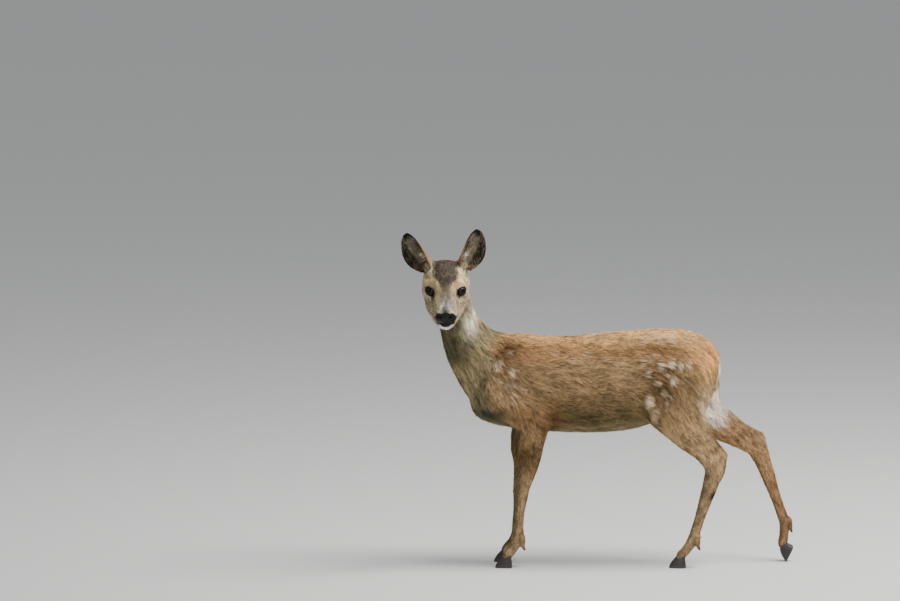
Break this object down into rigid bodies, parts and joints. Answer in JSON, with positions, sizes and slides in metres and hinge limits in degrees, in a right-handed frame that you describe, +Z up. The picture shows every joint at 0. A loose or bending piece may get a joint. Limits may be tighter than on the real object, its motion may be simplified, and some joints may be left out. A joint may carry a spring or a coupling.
{
  "type": "roe deer fawn model",
  "caption": "Life-size still model of a young spotted deer in its summer coat, standing with one hind leg stretched back and its head turned to the side.",
  "frame": {"origin": "on the floor, under the middle of the whole model's box", "axes": "+Z is up; the trunk points to -X, so its chest is at -X and its rump at +X; its left side is towards -Y, and its head looks towards -Y"},
  "size_m": [0.7918, 0.2394, 0.6879],
  "materials": {
    "summer_coat": null,
    "eye": "very dark brown, wet and glossy, opaque",
    "hoof_horn": "black horn, faintly ridged, dull sheen; stands for keratin"
  },
  "bodies": {
    "root": {"trunk": "summer_coat", "neck": "summer_coat", "head": "summer_coat", "tail": "summer_coat", "ear_left": "summer_coat", "ear_right": "summer_coat", "foreleg_left_upper": "summer_coat", "foreleg_left_lower": "summer_coat", "hindleg_left_upper": "summer_coat", "hindleg_left_lower": "summer_coat", "foreleg_right_upper": "summer_coat", "foreleg_right_lower": "summer_coat", "hindleg_right_upper": "summer_coat", "hindleg_right_lower": "summer_coat", "eye_left": "eye", "eye_right": "eye", "hoof_fore_left_outer": "hoof_horn", "dewclaw_fore_left_outer": "hoof_horn", "hoof_fore_left_inner": "hoof_horn", "dewclaw_fore_left_inner": "hoof_horn", "hoof_fore_right_outer": "hoof_horn", "dewclaw_fore_right_outer": "hoof_horn", "hoof_fore_right_inner": "hoof_horn", "dewclaw_fore_right_inner": "hoof_horn", "hoof_hind_left_outer": "hoof_horn", "dewclaw_hind_left_outer": "hoof_horn", "hoof_hind_left_inner": "hoof_horn", "dewclaw_hind_left_inner": "hoof_horn", "hoof_hind_right_outer": "hoof_horn", "dewclaw_hind_right_outer": "hoof_horn", "hoof_hind_right_inner": "hoof_horn", "dewclaw_hind_right_inner": "hoof_horn"}
  },
  "joints": []
}
